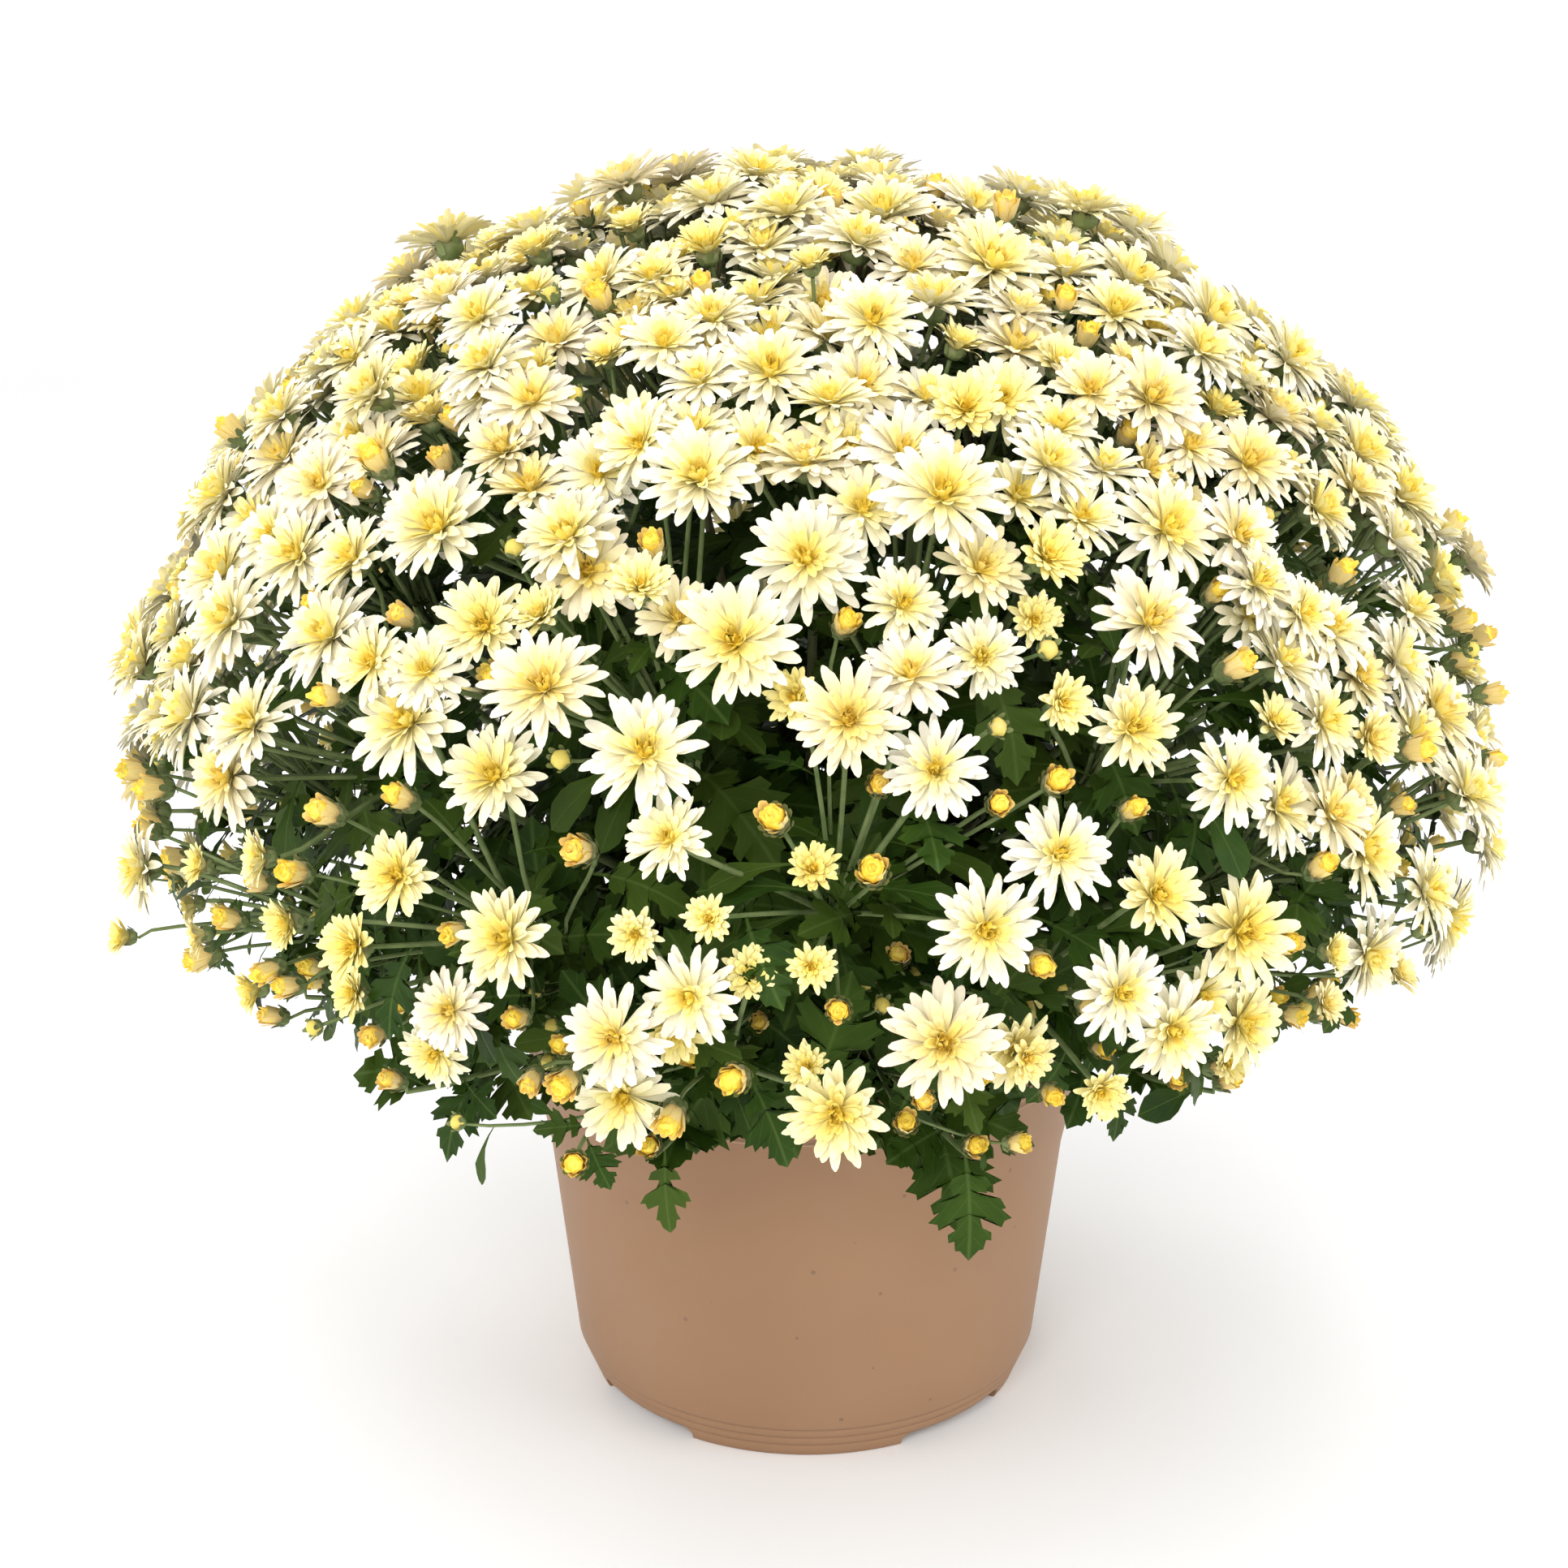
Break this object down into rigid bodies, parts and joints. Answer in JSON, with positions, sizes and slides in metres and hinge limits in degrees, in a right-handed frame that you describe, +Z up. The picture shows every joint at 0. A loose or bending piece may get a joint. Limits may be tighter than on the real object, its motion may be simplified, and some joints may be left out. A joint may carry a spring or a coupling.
{
  "type": "pot chrysanthemum",
  "caption": "Bushy garden chrysanthemum with double cream blooms, buds and lobed leaves, growing as a dome from a low tapered plastic pot.",
  "frame": {"origin": "centre of the pot's foot ring, on the surface that the pot stands on", "axes": "+Z up along the pot's axis, -Y towards the side that the picture shows, +X to the right in the picture"},
  "size_m": [0.5274, 0.5253, 0.4819],
  "materials": {
    "petal": "soft matte petals, cream with a pale yellow heart",
    "leaf": "dull dark green leaf with paler veins",
    "wood": "rough woody stem base",
    "soil": "loose dark peat mix",
    "pot": "matte beige moulded plastic"
  },
  "bodies": {
    "root": {"crown": "wood", "pot": "pot", "skirt_shoot_01": "leaf", "skirt_shoot_02": "leaf", "skirt_shoot_03": "leaf", "skirt_shoot_04": "leaf", "skirt_shoot_05": "leaf", "skirt_shoot_06": "leaf", "skirt_shoot_07": "leaf", "skirt_shoot_08": "leaf", "skirt_shoot_09": "leaf", "skirt_shoot_10": "leaf", "skirt_shoot_11": "leaf", "skirt_shoot_12": "leaf", "soil": "soil", "spray_01": "petal", "spray_02": "petal", "spray_03": "petal", "spray_04": "petal", "spray_05": "petal", "spray_06": "petal", "spray_07": "petal", "spray_08": "petal", "spray_09": "petal", "spray_10": "petal", "spray_11": "petal", "spray_12": "petal", "spray_13": "petal", "spray_14": "petal", "spray_15": "petal", "spray_16": "petal", "spray_17": "petal", "spray_18": "petal", "spray_19": "petal", "spray_20": "petal", "spray_21": "petal", "spray_22": "petal", "spray_23": "petal", "spray_24": "petal", "spray_25": "petal", "spray_26": "petal", "spray_27": "petal", "spray_28": "petal", "spray_29": "petal", "spray_30": "petal", "spray_31": "petal", "spray_32": "petal", "spray_33": "petal", "spray_34": "petal", "spray_35": "petal", "spray_36": "petal", "spray_37": "petal", "spray_38": "petal", "spray_39": "petal", "spray_40": "petal"}
  },
  "joints": []
}
